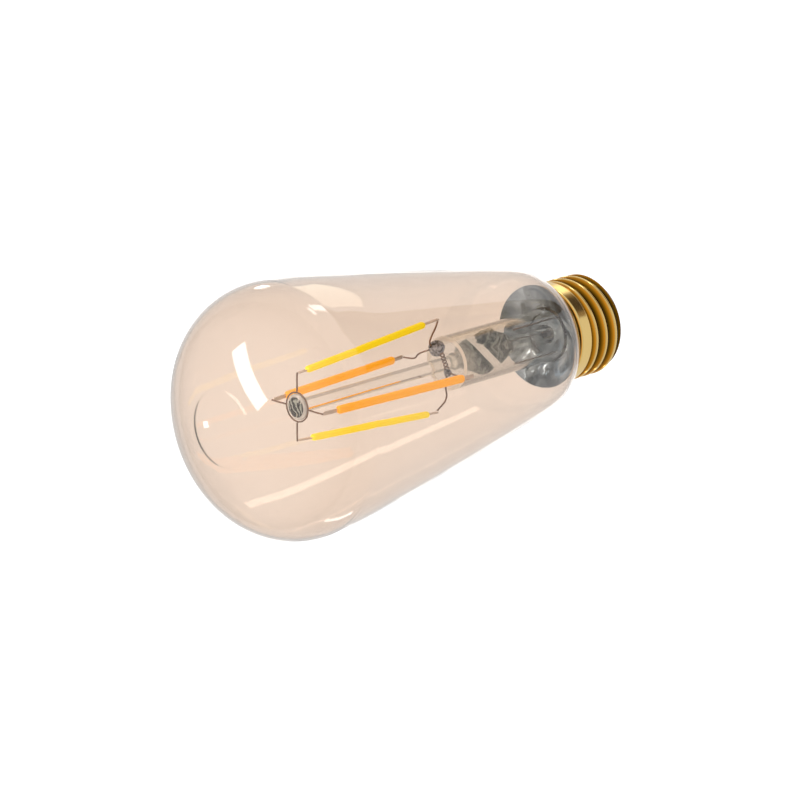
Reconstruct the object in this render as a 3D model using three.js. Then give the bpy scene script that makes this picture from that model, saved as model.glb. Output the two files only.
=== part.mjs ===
// Pear-shaped LED filament light bulb with a driver and a radio in its screw cap.
// Millimetres, +Z from the cap to the dome, origin at the flat tip of the centre contact.

import * as THREE from 'three';

// ---------------------------------------------------------------- driving dimensions

const glass = {
  maxRadius: 32, widestZ: 116.4, shoulderRadius: 18.1, crownRadius: 43.2,
  neckRadius: 12.3, neckBottomZ: 18.9, neckTopZ: 22.9, wall: 0.7, sides: 40,
};
const stem = { radius: 6.6, wall: 1.1, topZ: 59.6, rimRadius: 11.45, bottomZ: 19.0, sides: 24 };
const press = { radius: 5.2, endRadius: 2.2, halfThickness: 1.7, bottomZ: 38, topZ: 57.3, twist: Math.PI / 3 };
const exhaust = { radius: 2.2, bore: 1.5, tipZ: 10.4 };
const washer = { innerRadius: 2.35, outerRadius: 4.6, bottomZ: 22.0, thickness: 0.4 };
const leadRadius = 5.0;
const rod = { radius: 1.75 };
const hub = { z: 112.2, ringRadius: 3.65, wireRadius: 0.25, reach: 8.45, buttonRadius: 3.2 };
const filament = {
  count: 4, firstAngle: -23, width: 1.9, thickness: 1.7, hubEndZ: 107.3, baseEndZ: 66.3,
  flare: 0.0756, tabWidth: 1.0, tabThickness: 0.3, tabBaseZ: 63, tabGap: 0.25,
  rises: [0, 1.7, 0, 0],
};
const shield = { rimRadius: 13.2, rimZ: 25.4, holeRadius: 7.1, holeZ: 21.8, thickness: 0.4 };
const thread = {
  crestRadius: 13.2, rootRadius: 12.15, pitch: 3.63, crestZ: 13.2, firstZ: 7.2, lastZ: 18.4,
};
const shell = {
  bottomZ: 6.3, topZ: 22.8, mouthRadius: 10.9, skirtRadius: 13.25, sheet: 0.35, sides: 36, rowHeight: 0.72,
};
const insulator = { topZ: 6.9, seatZ: 1.4, tipRadius: 6.2, wireHole: 0.9 };
const contact = { radius: 4.8, height: 1.8, edge: 0.5 };
const board = { radius: 10.9, thickness: 1.0, bottomZ: 14.6, hole: 3.0 };
const sleeve = { innerRadius: 11.2, outerRadius: 11.6, bottomZ: 7.2, topZ: 16.4 };
const wire = { radius: 0.22, sides: 6 };

// ---------------------------------------------------------------- materials

const colours = {
  glass: [0xecd6c4, 0.05, 0],
  clearGlass: [0xdfe3df, 0.05, 0],
  bead: [0x8d9298, 0.15, 0],
  wire: [0x6b5b50, 0.4, 0.9],
  tab: [0xa79c94, 0.4, 0.9],
  coolPhosphor: [0xffcf1f, 0.6, 0],
  warmPhosphor: [0xff9a1e, 0.6, 0],
  shield: [0x8a8f95, 0.25, 0.6],
  brass: [0xd9a441, 0.3, 1],
  tin: [0xb9bcbd, 0.35, 1],
  blackGlass: [0x141414, 0.1, 0],
  cement: [0xb9a98c, 0.9, 0],
  board: [0x1f5b3a, 0.5, 0],
  chip: [0x17181a, 0.5, 0],
  ceramic: [0xe6e2d8, 0.5, 0],
  capacitor: [0x26303a, 0.4, 0.2],
  ferrite: [0x33353a, 0.6, 0],
  copper: [0xb4683a, 0.35, 1],
  resistor: [0x6f8fa8, 0.5, 0],
  redSleeve: [0xa03028, 0.5, 0],
  blueSleeve: [0x2c4f8e, 0.5, 0],
  liner: [0xe9e9e4, 0.6, 0],
};

const bulb = new THREE.Group();

function addPiece(name, colour, geometry, parent = bulb) {
  const [color, roughness, metalness] = colours[colour];
  const material = new THREE.MeshStandardMaterial({ color, roughness, metalness });
  const mesh = new THREE.Mesh(geometry, material);
  mesh.name = name;
  parent.add(mesh);
  return mesh;
}

// ---------------------------------------------------------------- shape helpers

const point = (radius, z) => new THREE.Vector2(radius, z);

// A body of revolution about Z. The outline runs up the outside and down the inside.
function turned(outline, sides) {
  const geometry = new THREE.LatheGeometry(outline, sides);
  geometry.rotateX(Math.PI / 2);
  return geometry;
}

function turnedRing(innerRadius, outerRadius, bottomZ, topZ, sides) {
  return turned([
    point(innerRadius, bottomZ), point(outerRadius, bottomZ),
    point(outerRadius, topZ), point(innerRadius, topZ), point(innerRadius, bottomZ),
  ], sides);
}

function roundBar(radius, bottomZ, topZ, sides) {
  return turned([point(0, bottomZ), point(radius, bottomZ), point(radius, topZ), point(0, topZ)], sides);
}

function arcPoints(centre, radius, fromAngle, toAngle, steps) {
  return Array.from({ length: steps + 1 }, (_, i) => {
    const angle = fromAngle + (toAngle - fromAngle) * i / steps;
    return point(centre.x + radius * Math.cos(angle), centre.y + radius * Math.sin(angle));
  });
}

// The same line moved sideways by a distance, to the inside of an outline that runs upward.
function offsetInward(outline, distance) {
  return outline.map((p, i) => {
    const before = outline[Math.max(i - 1, 0)];
    const after = outline[Math.min(i + 1, outline.length - 1)];
    const along = after.clone().sub(before).normalize();
    return point(Math.max(p.x - along.y * distance, 0), p.y + along.x * distance);
  });
}

function roundSection(radius, sides = wire.sides) {
  const corners = Array.from({ length: sides }, (_, i) => {
    const angle = 2 * Math.PI * i / sides;
    return new THREE.Vector2(radius * Math.cos(angle), radius * Math.sin(angle));
  });
  return new THREE.Shape(corners);
}

function wireAlong(points, radius = wire.radius, steps = 12) {
  const route = new THREE.CatmullRomCurve3(points.map((p) => new THREE.Vector3(...p)));
  return new THREE.ExtrudeGeometry(roundSection(radius), { extrudePath: route, steps, bevelEnabled: false });
}

function block(width, depth, height, x, y, bottomZ) {
  return new THREE.BoxGeometry(width, depth, height).translate(x, y, bottomZ + height / 2);
}

// ---------------------------------------------------------------- glass envelope

// Neck and flank as one smooth line through hand-set stations (radius, height).
const flank = new THREE.SplineCurve([
  point(glass.neckRadius, glass.neckTopZ), point(13.5, 24), point(15.4, 26), point(17.05, 28),
  point(18.4, 30.6), point(19.45, 34), point(21.35, 44), point(23.75, 58), point(26.35, 74),
  point(29.1, 92), point(31.1, 106), point(glass.maxRadius, glass.widestZ),
]);

// The dome is two arcs in line with each other: a tight shoulder and a flatter crown.
const shoulderCentre = point(glass.maxRadius - glass.shoulderRadius, glass.widestZ);
const centreRise = Math.sqrt((glass.crownRadius - glass.shoulderRadius) ** 2 - shoulderCentre.x ** 2);
const crownCentre = point(0, glass.widestZ - centreRise);
const crownStart = Math.atan2(centreRise, shoulderCentre.x);

const envelopeOutside = [
  point(glass.neckRadius, glass.neckBottomZ),
  ...flank.getPoints(15),
  ...arcPoints(shoulderCentre, glass.shoulderRadius, 0, crownStart, 4).slice(1),
  ...arcPoints(crownCentre, glass.crownRadius, crownStart, Math.PI / 2, 4).slice(1),
];
envelopeOutside.at(-1).x = 0;
const envelopeInside = offsetInward(envelopeOutside, glass.wall);
envelopeInside.at(-1).x = 0;

addPiece('glass_envelope', 'glass', turned([...envelopeInside].reverse().concat(envelopeOutside), glass.sides));

// ---------------------------------------------------------------- stem

const stemOutside = [
  point(stem.rimRadius, stem.bottomZ), point(9.4, 19.7), point(7.9, 20.5),
  point(6.95, 21.3), point(stem.radius, 22.8), point(stem.radius, stem.topZ),
];
const stemInside = offsetInward(stemOutside, stem.wall);
stemInside[0].y = stem.bottomZ;
stemInside.at(-1).y = stem.topZ;
addPiece('stem_flare', 'clearGlass',
  turned([...stemOutside, ...stemInside.reverse(), stemOutside[0]], stem.sides));

// The press is a bar of soft glass with slim round ends, spread flat in its middle and twisted.
function pinchedPress() {
  const height = press.topZ - press.bottomZ;
  const geometry = new THREE.CylinderGeometry(press.radius, press.radius, height, 20, 8);
  geometry.rotateX(Math.PI / 2);
  const corners = geometry.attributes.position;
  for (let i = 0; i < corners.count; i++) {
    const rise = corners.getZ(i) / height + 0.5;
    const spread = Math.sqrt(Math.max(Math.sin(Math.PI * rise), 0));
    const halfWidth = THREE.MathUtils.lerp(press.endRadius, press.radius, spread);
    const halfDepth = THREE.MathUtils.lerp(press.endRadius, press.halfThickness, spread);
    const spot = point(corners.getX(i) * halfDepth / press.radius, corners.getY(i) * halfWidth / press.radius);
    spot.rotateAround(point(0, 0), press.twist * (rise - 0.5));
    corners.setXY(i, spot.x, spot.y);
  }
  return geometry.translate(0, 0, (press.topZ + press.bottomZ) / 2);
}
addPiece('stem_press', 'clearGlass', pinchedPress());

addPiece('exhaust_tube', 'clearGlass', turned([
  point(0, exhaust.tipZ), point(1.2, exhaust.tipZ + 0.6), point(exhaust.radius, exhaust.tipZ + 3),
  point(exhaust.radius, press.bottomZ - 0.3), point(exhaust.bore, press.bottomZ - 0.3),
  point(exhaust.bore, exhaust.tipZ + 3.4), point(0, exhaust.tipZ + 2),
], 16));

addPiece('stem_washer', 'shield', turnedRing(washer.innerRadius, washer.outerRadius,
  washer.bottomZ, washer.bottomZ + washer.thickness, stem.sides));

const rodTopZ = hub.z - 1.6;
addPiece('support_rod', 'clearGlass', roundBar(rod.radius, press.topZ, rodTopZ, 16));

// ---------------------------------------------------------------- hub

addPiece('hub_button', 'clearGlass', turned([
  point(0, rodTopZ), point(rod.radius, rodTopZ), point(2.9, hub.z - 0.9), point(hub.buttonRadius, hub.z),
  point(2.9, hub.z + 0.8), point(1.8, hub.z + 1.3), point(0, hub.z + 1.5),
], 24));

addPiece('hub_ring', 'wire',
  new THREE.TorusGeometry(hub.ringRadius, hub.wireRadius, 6, 24).translate(0, 0, hub.z));

// ---------------------------------------------------------------- filaments

const alongFilament = (z) => hub.reach + (hub.z - z) * filament.flare;

function stripShape(width, thickness, corner) {
  const w = width / 2;
  const t = thickness / 2;
  const shape = new THREE.Shape();
  shape.moveTo(w, -t + corner).lineTo(w, t - corner).absarc(w - corner, t - corner, corner, 0, Math.PI / 2);
  shape.absarc(-w + corner, t - corner, corner, Math.PI / 2, Math.PI);
  shape.absarc(-w + corner, -t + corner, corner, Math.PI, 1.5 * Math.PI);
  shape.absarc(w - corner, -t + corner, corner, 1.5 * Math.PI, 2 * Math.PI);
  return shape;
}

function rectangle(width, thickness) {
  const [w, t] = [width / 2, thickness / 2];
  return new THREE.Shape([point(w, -t), point(w, t), point(-w, t), point(-w, -t)]);
}

// A straight strip on the filament's sloping line, between two heights of the bulb.
function strip(shape, fromZ, toZ) {
  const slope = Math.atan(filament.flare);
  const length = (toZ - fromZ) / Math.cos(slope);
  const geometry = new THREE.ExtrudeGeometry(shape, { depth: length, bevelEnabled: false, curveSegments: 2 });
  return geometry.rotateZ(Math.PI / 2).rotateY(-slope).translate(alongFilament(fromZ), 0, fromZ);
}

const phosphorShape = stripShape(filament.width, filament.thickness, 0.6);
const tabShape = rectangle(filament.tabWidth, filament.tabThickness);

for (let i = 0; i < filament.count; i++) {
  const turn = new THREE.Group();
  turn.rotation.z = THREE.MathUtils.degToRad(filament.firstAngle + 90 * i);
  bulb.add(turn);
  const colour = i % 2 === 0 ? 'warmPhosphor' : 'coolPhosphor';
  const { tabGap, tabBaseZ } = filament;
  const hubEndZ = filament.hubEndZ + filament.rises[i];
  const baseEndZ = filament.baseEndZ + filament.rises[i];
  addPiece(`filament_${i + 1}`, colour, strip(phosphorShape, baseEndZ, hubEndZ), turn);
  addPiece(`filament_tab_hub_${i + 1}`, 'tab', strip(tabShape, hubEndZ + tabGap, hub.z - 0.5), turn);
  addPiece(`filament_tab_base_${i + 1}`, 'tab', strip(tabShape, tabBaseZ, baseEndZ - tabGap), turn);
  const start = hub.ringRadius + hub.wireRadius + 0.05;
  addPiece(`hub_wire_${i + 1}`, 'wire',
    wireAlong([[start, 0, hub.z], [hub.reach + 0.2, 0, hub.z]], wire.radius, 1), turn);
}

// ---------------------------------------------------------------- wires at the press

const upperBead = { x: 0, y: 4.4, z: 61.6, radius: 1.8 };
const lowerBead = { x: 2.0, y: -2.3, z: 62.3, radius: 0.85 };
for (const [name, bead] of [['glass_bead_upper', upperBead], ['glass_bead_lower', lowerBead]]) {
  const sphere = new THREE.SphereGeometry(bead.radius, 12, 8);
  addPiece(name, 'bead', sphere.translate(bead.x, bead.y, bead.z));
}

// The point where a filament's lower tab ends, moved out of the tab towards the stem.
function tabEnd(index, inset = 0.45) {
  const angle = THREE.MathUtils.degToRad(filament.firstAngle + 90 * index);
  const radius = alongFilament(filament.tabBaseZ) - inset;
  return [radius * Math.cos(angle), radius * Math.sin(angle), filament.tabBaseZ];
}

const baseRoutes = [
  [tabEnd(0), [9.4, -4.6, 61.4], [6.9, -5.2, 61.2], [5.2, -3.9, 62.2], [3.1, -2.7, 62.4]],
  [tabEnd(1), [3.6, 9.2, 63.6], [1.2, 7.6, 64.2], [0.3, 6.2, 63.0]],
  [tabEnd(2), [-7.6, 3.6, 62.6], [-5.0, 4.3, 63.2], [-2.0, 4.5, 62.4]],
  [tabEnd(3), [-2.6, -8.6, 60.9], [-0.4, -5.6, 61.9], [1.2, -3.2, 62.2]],
];
baseRoutes.forEach((route, i) => addPiece(`base_wire_${i + 1}`, 'wire', wireAlong(route)));

// A twisted jumper from one bead to the other.
function twistedJumper() {
  const from = new THREE.Vector3(1.9, 2.9, 62.2);
  const to = new THREE.Vector3(2.5, -1.35, 62.6);
  const [turns, stepsPerTurn, swing] = [3, 6, 0.3];
  const steps = turns * stepsPerTurn;
  const points = Array.from({ length: steps + 1 }, (_, i) => {
    const angle = 2 * Math.PI * i / stepsPerTurn;
    const spot = from.clone().lerp(to, i / steps);
    return spot.add(new THREE.Vector3(swing * Math.cos(angle), 0, swing * Math.sin(angle)));
  });
  return wireAlong(points.map((p) => p.toArray()), 0.16, steps);
}
addPiece('twisted_jumper', 'wire', twistedJumper());

const leadNames = ['common', 'cool', 'warm'];
leadNames.forEach((name, i) => {
  const angle = THREE.MathUtils.degToRad(40 + 120 * i);
  const at = (radius, z) => [radius * Math.cos(angle), radius * Math.sin(angle), z];
  const boardTop = board.bottomZ + board.thickness;
  const route = [
    at(leadRadius, press.bottomZ - 0.3), at(leadRadius, 30), at(leadRadius, 21.6), at(3.6, boardTop + 0.05),
  ];
  addPiece(`stem_lead_${name}`, 'wire', wireAlong(route, wire.radius, 12));
});

// ---------------------------------------------------------------- shield in the neck

const bowl = new THREE.SplineCurve([
  point(shield.holeRadius, shield.holeZ), point(9.0, 22.2), point(10.9, 23.4),
  point(shield.rimRadius, shield.rimZ),
]).getPoints(5);
const bowlBack = offsetInward(bowl, -shield.thickness);
bowlBack[0].x = shield.holeRadius;
bowlBack.at(-1).x = shield.rimRadius;
addPiece('neck_shield', 'shield', turned([...bowlBack, ...bowl.reverse(), bowlBack[0]], glass.sides));

// ---------------------------------------------------------------- screw cap

// Right-hand thread: the crest climbs one pitch for each turn and fades out at both ends.
function threadRadius(z, angle) {
  const middle = (thread.crestRadius + thread.rootRadius) / 2;
  const height = (thread.crestRadius - thread.rootRadius) / 2;
  const phase = 2 * Math.PI * (z - thread.crestZ) / thread.pitch - angle;
  const fade = THREE.MathUtils.smoothstep(z, thread.lastZ - 0.6, thread.lastZ + 0.8);
  return THREE.MathUtils.lerp(middle + height * Math.cos(phase), shell.skirtRadius, fade);
}

function screwShell() {
  const rows = Math.round((shell.topZ - thread.firstZ) / shell.rowHeight);
  const heights = Array.from({ length: rows + 1 },
    (_, i) => thread.firstZ + (shell.topZ - thread.firstZ) * i / rows);
  const outside = [point(shell.mouthRadius, shell.bottomZ), point(12.0, shell.bottomZ + 0.15)];
  outside.push(...heights.map((z) => point(thread.crestRadius, z)));
  const inside = outside.map((p) => point(p.x - shell.sheet, Math.max(p.y, shell.bottomZ + shell.sheet)));
  inside[0].x = shell.mouthRadius;
  const geometry = turned([...outside, ...inside.reverse(), outside[0]], shell.sides);
  const corners = geometry.attributes.position;
  for (let i = 0; i < corners.count; i++) {
    const spot = point(corners.getX(i), corners.getY(i));
    const z = corners.getZ(i);
    if (z < thread.firstZ - 0.01) continue;
    const inwards = thread.crestRadius - spot.length();
    spot.setLength(threadRadius(z, spot.angle()) - inwards);
    corners.setXY(i, spot.x, spot.y);
  }
  return geometry;
}
addPiece('screw_shell', 'brass', screwShell());

addPiece('cap_cement', 'cement',
  turnedRing(glass.neckRadius + 0.05, shell.skirtRadius - shell.sheet - 0.05, 19.4, 22.5, glass.sides));

addPiece('cap_insulator', 'blackGlass', turned([
  point(insulator.wireHole, contact.height + 0.1), point(contact.radius + 0.1, contact.height + 0.1),
  point(contact.radius + 0.1, insulator.seatZ), point(insulator.tipRadius, insulator.seatZ),
  point(10.2, shell.bottomZ - 1.4), point(10.8, shell.bottomZ - 0.4), point(10.8, insulator.topZ),
  point(insulator.wireHole, insulator.topZ), point(insulator.wireHole, contact.height + 0.1),
], 32));

addPiece('centre_contact', 'tin', turned([
  point(0, 0), point(contact.radius - contact.edge, 0),
  ...arcPoints(point(contact.radius - contact.edge, contact.edge), contact.edge, -Math.PI / 4, 0, 2),
  point(contact.radius, contact.height), point(0, contact.height),
], 24));

// ---------------------------------------------------------------- driver and radio in the cap

const boardTopZ = board.bottomZ + board.thickness;
const boardBottomZ = board.bottomZ - 0.05;
addPiece('driver_board', 'board', turnedRing(board.hole, board.radius, board.bottomZ, boardTopZ, 32));

addPiece('radio_board', 'board', block(10, 0.8, 7, 0, 6, boardBottomZ - 7));
addPiece('radio_chip', 'chip', block(4, 0.8, 4, -1.8, 6.85, 9));
addPiece('chip_antenna', 'ceramic', block(1.8, 0.8, 5, 3.4, 6.85, 8.4));
addPiece('driver_chip', 'chip', block(4.9, 3.9, 1.4, -6.6, 0.5, boardTopZ + 0.05));
addPiece('bridge_rectifier', 'chip', block(4.6, 3.9, 1.5, 6.6, 0.5, boardTopZ + 0.05));
addPiece('switch_cool', 'chip', block(2.9, 1.3, 1, -3, -6.6, boardTopZ + 0.05));
addPiece('switch_warm', 'chip', block(2.9, 1.3, 1, 3, -6.6, boardTopZ + 0.05));

addPiece('smoothing_capacitor', 'capacitor',
  roundBar(2.5, boardBottomZ - 7, boardBottomZ, 24).translate(-6.6, -3.2, 0));

const inductor = { x: 6.4, y: -3.2, radius: 3, waist: 1.5, bottomZ: 8.6, flange: 0.8 };
const inductorTopZ = boardBottomZ;
addPiece('inductor_core', 'ferrite', turned([
  point(0, inductor.bottomZ), point(inductor.radius, inductor.bottomZ),
  point(inductor.radius, inductor.bottomZ + inductor.flange),
  point(inductor.waist, inductor.bottomZ + inductor.flange),
  point(inductor.waist, inductorTopZ - inductor.flange),
  point(inductor.radius, inductorTopZ - inductor.flange),
  point(inductor.radius, inductorTopZ), point(0, inductorTopZ),
], 24).translate(inductor.x, inductor.y, 0));
addPiece('inductor_winding', 'copper', turnedRing(inductor.waist + 0.05, inductor.radius - 0.4,
  inductor.bottomZ + inductor.flange + 0.05, inductorTopZ - inductor.flange - 0.05, 24)
  .translate(inductor.x, inductor.y, 0));

const fuse = { x: 0, y: -7.6, radius: 1.2, bottomZ: 8.8, topZ: 13.6 };
addPiece('fusible_resistor', 'resistor', turned([
  point(0, fuse.bottomZ), point(0.9, fuse.bottomZ), point(fuse.radius, fuse.bottomZ + 0.5),
  point(fuse.radius, fuse.topZ - 0.5), point(0.9, fuse.topZ), point(0.3, fuse.topZ),
  point(0.3, boardBottomZ), point(0, boardBottomZ),
], 16).translate(fuse.x, fuse.y, 0));

addPiece('live_wire', 'redSleeve', wireAlong([
  [0, 0, contact.height + 0.05], [0, 0, 6.8], [0, -1.5, 8.2], [0, -4.8, 7.8],
  [0, -7.2, 7.7], [fuse.x, fuse.y, fuse.bottomZ - 0.1],
], 0.4, 14));
addPiece('neutral_wire', 'blueSleeve', wireAlong([
  [-5.4, 7.2, boardTopZ + 0.1], [-5.9, 7.9, 16.6], [-6.8, 9.1, 17.0], [-7.1, 9.5, 16.8],
], 0.3, 6));

addPiece('insulating_sleeve', 'liner',
  turnedRing(sleeve.innerRadius, sleeve.outerRadius, sleeve.bottomZ, sleeve.topZ, 32));

export default bulb;
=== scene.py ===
# %% [markdown]
# # A pear-shaped filament bulb in amber glass
# This lesson builds the looks of a light bulb round its CAD model. The CAD model is loaded as a
# fixed frame: the axis is Z, the dome is on top, and the flat tip of the contact is the origin.
# Glass, wires and brass get fine new meshes in the same places. The parts of the driver that
# the brass cap hides keep their CAD shapes and get better finishes.

# %% Load the fixed frame
import math
import random

import bmesh
import bpy
from mathutils import Matrix, Vector


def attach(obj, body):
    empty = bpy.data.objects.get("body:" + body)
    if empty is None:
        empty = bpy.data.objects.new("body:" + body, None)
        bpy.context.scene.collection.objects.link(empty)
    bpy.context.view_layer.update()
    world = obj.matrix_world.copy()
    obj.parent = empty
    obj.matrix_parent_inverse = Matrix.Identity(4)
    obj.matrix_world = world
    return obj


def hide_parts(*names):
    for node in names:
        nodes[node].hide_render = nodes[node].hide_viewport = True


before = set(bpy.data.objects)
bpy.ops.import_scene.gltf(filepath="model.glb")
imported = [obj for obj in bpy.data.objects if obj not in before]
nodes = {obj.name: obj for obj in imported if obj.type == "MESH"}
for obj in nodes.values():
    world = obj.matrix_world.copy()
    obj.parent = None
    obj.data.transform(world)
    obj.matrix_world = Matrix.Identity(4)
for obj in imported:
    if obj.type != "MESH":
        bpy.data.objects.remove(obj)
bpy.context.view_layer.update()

MM = 0.001

# %% [markdown]
# ## The camera
# The camera looks down at 44 degrees from the side, through a long lens, and is rolled so that
# the bulb lies across the frame. It is built from a direction and a roll, which is easier to
# check than three angles. The shift only centres the bulb in the frame.

# %% Camera
camera_target = Vector((0, 0, 75 * MM))
camera_distance = 1.0
camera_elevation = math.radians(44)
camera_roll = math.radians(-106.29)

backward = Vector((math.cos(camera_elevation), 0, math.sin(camera_elevation)))
sideways = Vector((0, 0, 1)).cross(backward).normalized()
upward = backward.cross(sideways)
level = Matrix((sideways, upward, backward)).transposed()

camera = bpy.data.objects.new("camera", bpy.data.cameras.new("camera"))
camera.matrix_world = (
    Matrix.Translation(camera_target + backward * camera_distance)
    @ (level @ Matrix.Rotation(camera_roll, 3, "Z")).to_4x4()
)
camera.data.sensor_width = 36
camera.data.lens = 181.19
camera.data.shift_x = -0.00423
camera.data.shift_y = -0.02995
bpy.context.scene.collection.objects.link(camera)
bpy.context.scene.camera = camera
bpy.context.scene.view_settings.view_transform = "Standard"
print("camera at", [round(value, 3) for value in camera.matrix_world.translation])

# %% [markdown]
# A ray that crosses the envelope, the stem and the press meets more than twenty faces of glass.
# Too few bounces would leave black patches there, so the scene allows more of them.

# %% Light paths through many walls of glass
glass_bounces = 28
paths = bpy.context.scene.cycles
paths.max_bounces = glass_bounces
paths.transmission_bounces = glass_bounces
paths.glossy_bounces = 8
paths.transparent_max_bounces = glass_bounces
print("bounces:", paths.max_bounces)

# %% [markdown]
# ## Helpers for finishes
# Every finish is made of nodes. One function turns a hex colour into the linear values that the
# renderer works in, one adds a node with its settings and its inputs, one starts a material from
# the principled shader, and one feeds that shader's inputs from nodes. The Mix node has sockets
# for every kind of value at once, so the numbers of those for colours get names.

# %% Colour, node and material helpers
SHARE, LOW, HIGH, MIXED = 0, 6, 7, 2


def linear(hex_colour):
    """A hex colour, as a designer writes it, in linear light."""
    channels = [int(hex_colour[i:i + 2], 16) / 255 for i in (1, 3, 5)]
    light = [c / 12.92 if c <= 0.04045 else ((c + 0.055) / 1.055) ** 2.4 for c in channels]
    return (*light, 1.0)


def add_node(tree, kind, inputs=None, **settings):
    """Adds a node. An input may be a value, or the output that feeds it."""
    node = tree.nodes.new(kind)
    for name, value in settings.items():
        setattr(node, name, value)
    for name, value in (inputs or {}).items():
        if isinstance(value, bpy.types.NodeSocket):
            tree.links.new(value, node.inputs[name])
        else:
            node.inputs[name].default_value = value
    return node


def start_material(name, evenly):
    """A new material, its node tree, its principled shader and its Object coordinates."""
    material = bpy.data.materials.new(name)
    material.use_nodes = True
    tree = material.node_tree
    surface = tree.nodes["Principled BSDF"]
    for socket, value in evenly.items():
        surface.inputs[socket].default_value = value
    place = add_node(tree, "ShaderNodeTexCoord").outputs["Object"]
    print("finish", name)
    return material, tree, surface, place


def feed(tree, surface, sources):
    """Links each output to the shader's input of that name."""
    for socket, output in sources.items():
        tree.links.new(output, surface.inputs[socket])


print("middle grey in linear light:", round(linear("#808080")[0], 3))

# %% [markdown]
# ## Helpers for shapes
# Nearly every piece of a bulb is turned or bent from wire. A turned piece starts as an outline of
# a few points. Smooth lines, arcs and straight lines make up the outlines.

# %% Outline helpers
def smooth_line(stations, steps):
    """Points on a smooth curve through the stations."""
    line = [Vector(station) for station in stations]
    line = [2 * line[0] - line[1], *line, 2 * line[-1] - line[-2]]
    points = []
    for before, start, end, after in zip(line, line[1:], line[2:], line[3:]):
        for step in range(steps):
            t = step / steps
            points.append(0.5 * (2 * start + (end - before) * t
                                 + (2 * before - 5 * start + 4 * end - after) * t ** 2
                                 + (3 * start - before - 3 * end + after) * t ** 3))
    return points + [line[-2]]


def arc(centre, radius, first_angle, last_angle, steps):
    """Points on an arc, as (radius, height)."""
    angles = [first_angle + (last_angle - first_angle) * i / steps for i in range(steps + 1)]
    return [Vector((centre[0] + radius * math.cos(a), centre[1] + radius * math.sin(a))) for a in angles]


def straight_line(start, end, steps):
    """Evenly spaced points, so that smooth shading stays true along a straight wall."""
    return [Vector(start).lerp(Vector(end), step / steps) for step in range(steps + 1)]


print("points on a quarter arc:", len(arc((0, 0), 1, 0, math.pi / 2, 8)))

# %% [markdown]
# The spin operator sweeps an outline round the axis. A full turn leaves doubled points at the
# seam and at the poles, so they are welded before the normals are made to face outwards.

# %% Turned shapes
weld_distance = 0.001 * MM


def spin_outline(outline, sides, closed=False):
    """Sweeps an outline of (radius, height) points in millimetres round the Z axis."""
    shape = bmesh.new()
    corners = [shape.verts.new((point[0] * MM, 0, point[1] * MM)) for point in outline]
    edges = [shape.edges.new(pair) for pair in zip(corners, corners[1:])]
    if closed:
        edges.append(shape.edges.new((corners[-1], corners[0])))
    bmesh.ops.spin(shape, geom=corners + edges, cent=(0, 0, 0), axis=(0, 0, 1),
                   angle=2 * math.pi, steps=sides, use_merge=True)
    bmesh.ops.remove_doubles(shape, verts=shape.verts, dist=weld_distance)
    bmesh.ops.recalc_face_normals(shape, faces=shape.faces)
    return shape


print("weld distance:", weld_distance, "m")

# %% [markdown]
# Each finished piece rides on the bulb's one body, stands for the CAD nodes that it replaces, which
# are hidden, and takes the finish that it is given.

# %% Finished pieces
def finish_piece(name, shape, material, replaced, crease=38):
    mesh = bpy.data.meshes.new(name)
    shape.to_mesh(mesh)
    shape.free()
    mesh.shade_smooth()
    mesh.set_sharp_from_angle(angle=math.radians(crease))
    piece = bpy.data.objects.new(name, mesh)
    bpy.context.scene.collection.objects.link(piece)
    mesh.materials.append(material)
    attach(piece, "root")
    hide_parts(*replaced)
    print(name, len(mesh.polygons), "faces")


# %% [markdown]
# A wire is a smooth curve with a round section and closed ends. It could be swept by hand, but a
# curve does that in one step, and then it is made a mesh.

# %% Wires
def wire_shape(route, radius, rounds=3):
    """A round wire through points in millimetres, with closed ends, as a bmesh."""
    curve = bpy.data.curves.new("wire", "CURVE")
    curve.dimensions = "3D"
    curve.bevel_depth = radius * MM
    curve.bevel_resolution = rounds
    curve.resolution_u = 8
    curve.use_fill_caps = True
    spline = curve.splines.new("BEZIER")
    spline.bezier_points.add(len(route) - 1)
    for bend, spot in zip(spline.bezier_points, route):
        bend.co = Vector(spot) * MM
        bend.handle_left_type = bend.handle_right_type = "AUTO"
    helper = bpy.data.objects.new("wire", curve)
    bpy.context.scene.collection.objects.link(helper)
    bpy.context.view_layer.update()
    mesh = bpy.data.meshes.new_from_object(helper)
    shape = bmesh.new()
    shape.from_mesh(mesh)
    bmesh.ops.remove_doubles(shape, verts=shape.verts, dist=weld_distance)
    bmesh.ops.recalc_face_normals(shape, faces=shape.faces)
    bpy.data.objects.remove(helper)
    bpy.data.curves.remove(curve)
    bpy.data.meshes.remove(mesh)
    return shape


trial = wire_shape([(0, 0, 0), (0, 0, 10)], 0.2)
print("a straight wire has", len(trial.faces), "faces")
trial.free()

# %% [markdown]
# ## Glass finishes
# The envelope is soda-lime glass blown in a mould and stained amber. Blown glass is smooth but
# never quite flat, so a very soft bump bends its reflections, and the stain is a little uneven.
# Lamps have to reach the parts inside, so a shadow ray goes straight through, tinted.

# %% Blown amber glass
def add_lamp_path(material, tree, surface, tint):
    """Lets shadow rays pass the glass unbent, with the tint of one wall face."""
    clear = add_node(tree, "ShaderNodeBsdfTransparent", {"Color": tint})
    rays = add_node(tree, "ShaderNodeLightPath")
    mix = add_node(tree, "ShaderNodeMixShader", {
        "Fac": rays.outputs["Is Shadow Ray"], 1: surface.outputs[0], 2: clear.outputs[0]})
    tree.links.new(mix.outputs[0], tree.nodes["Material Output"].inputs["Surface"])


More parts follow.
